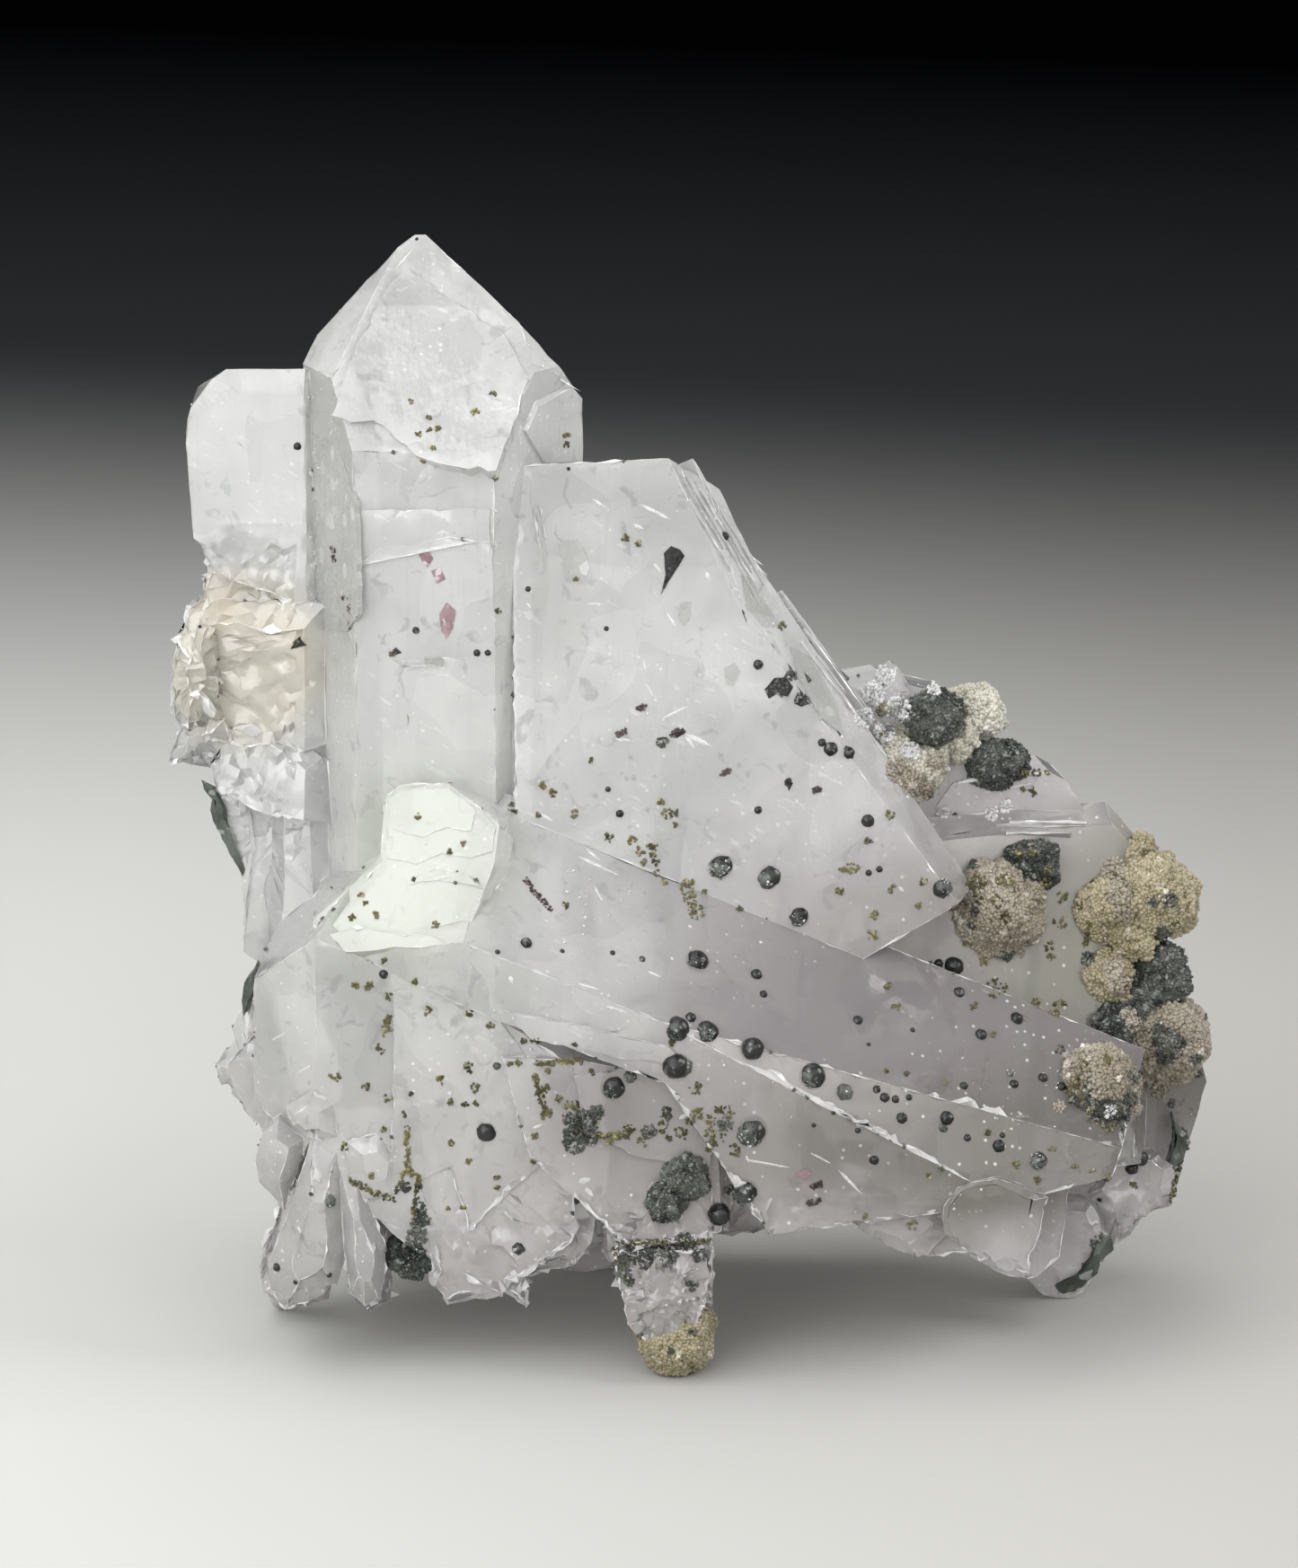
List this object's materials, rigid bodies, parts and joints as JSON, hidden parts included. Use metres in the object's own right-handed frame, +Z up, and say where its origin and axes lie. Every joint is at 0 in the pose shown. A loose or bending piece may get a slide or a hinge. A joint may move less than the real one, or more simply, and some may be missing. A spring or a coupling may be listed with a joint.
{
  "type": "quartz with analcime crystal cluster",
  "caption": "Natural cluster of clear quartz: a tall point, a broad blade and a crystal lying across the front, with sugary tan analcime and dark green chlorite balls along the right edge.",
  "frame": {"origin": "under the middle of the cluster's box, on the surface that it stands on", "axes": "+Z up along the tall crystal, the most detailed side faces -Y, +X to the right of that side"},
  "size_m": [0.071, 0.036, 0.0736],
  "materials": {
    "quartz": "clear to milky, glossy, with fine growth lines",
    "analcime": "sugary, crust of tiny crystals",
    "chlorite": "rough, fine-grained, almost black green"
  },
  "bodies": {
    "root": {"quartz_cluster": "quartz", "analcime_crest": "analcime", "analcime_shelf": "analcime", "analcime_edge_upper": "analcime", "analcime_edge_lower": "analcime", "analcime_edge_front": "analcime", "analcime_foot": "analcime", "chlorite_crest_left": "chlorite", "chlorite_crest_right": "chlorite", "chlorite_shelf": "chlorite", "chlorite_edge": "chlorite", "chlorite_edge_small": "chlorite", "chlorite_drop": "chlorite", "chlorite_front": "chlorite"}
  },
  "joints": []
}
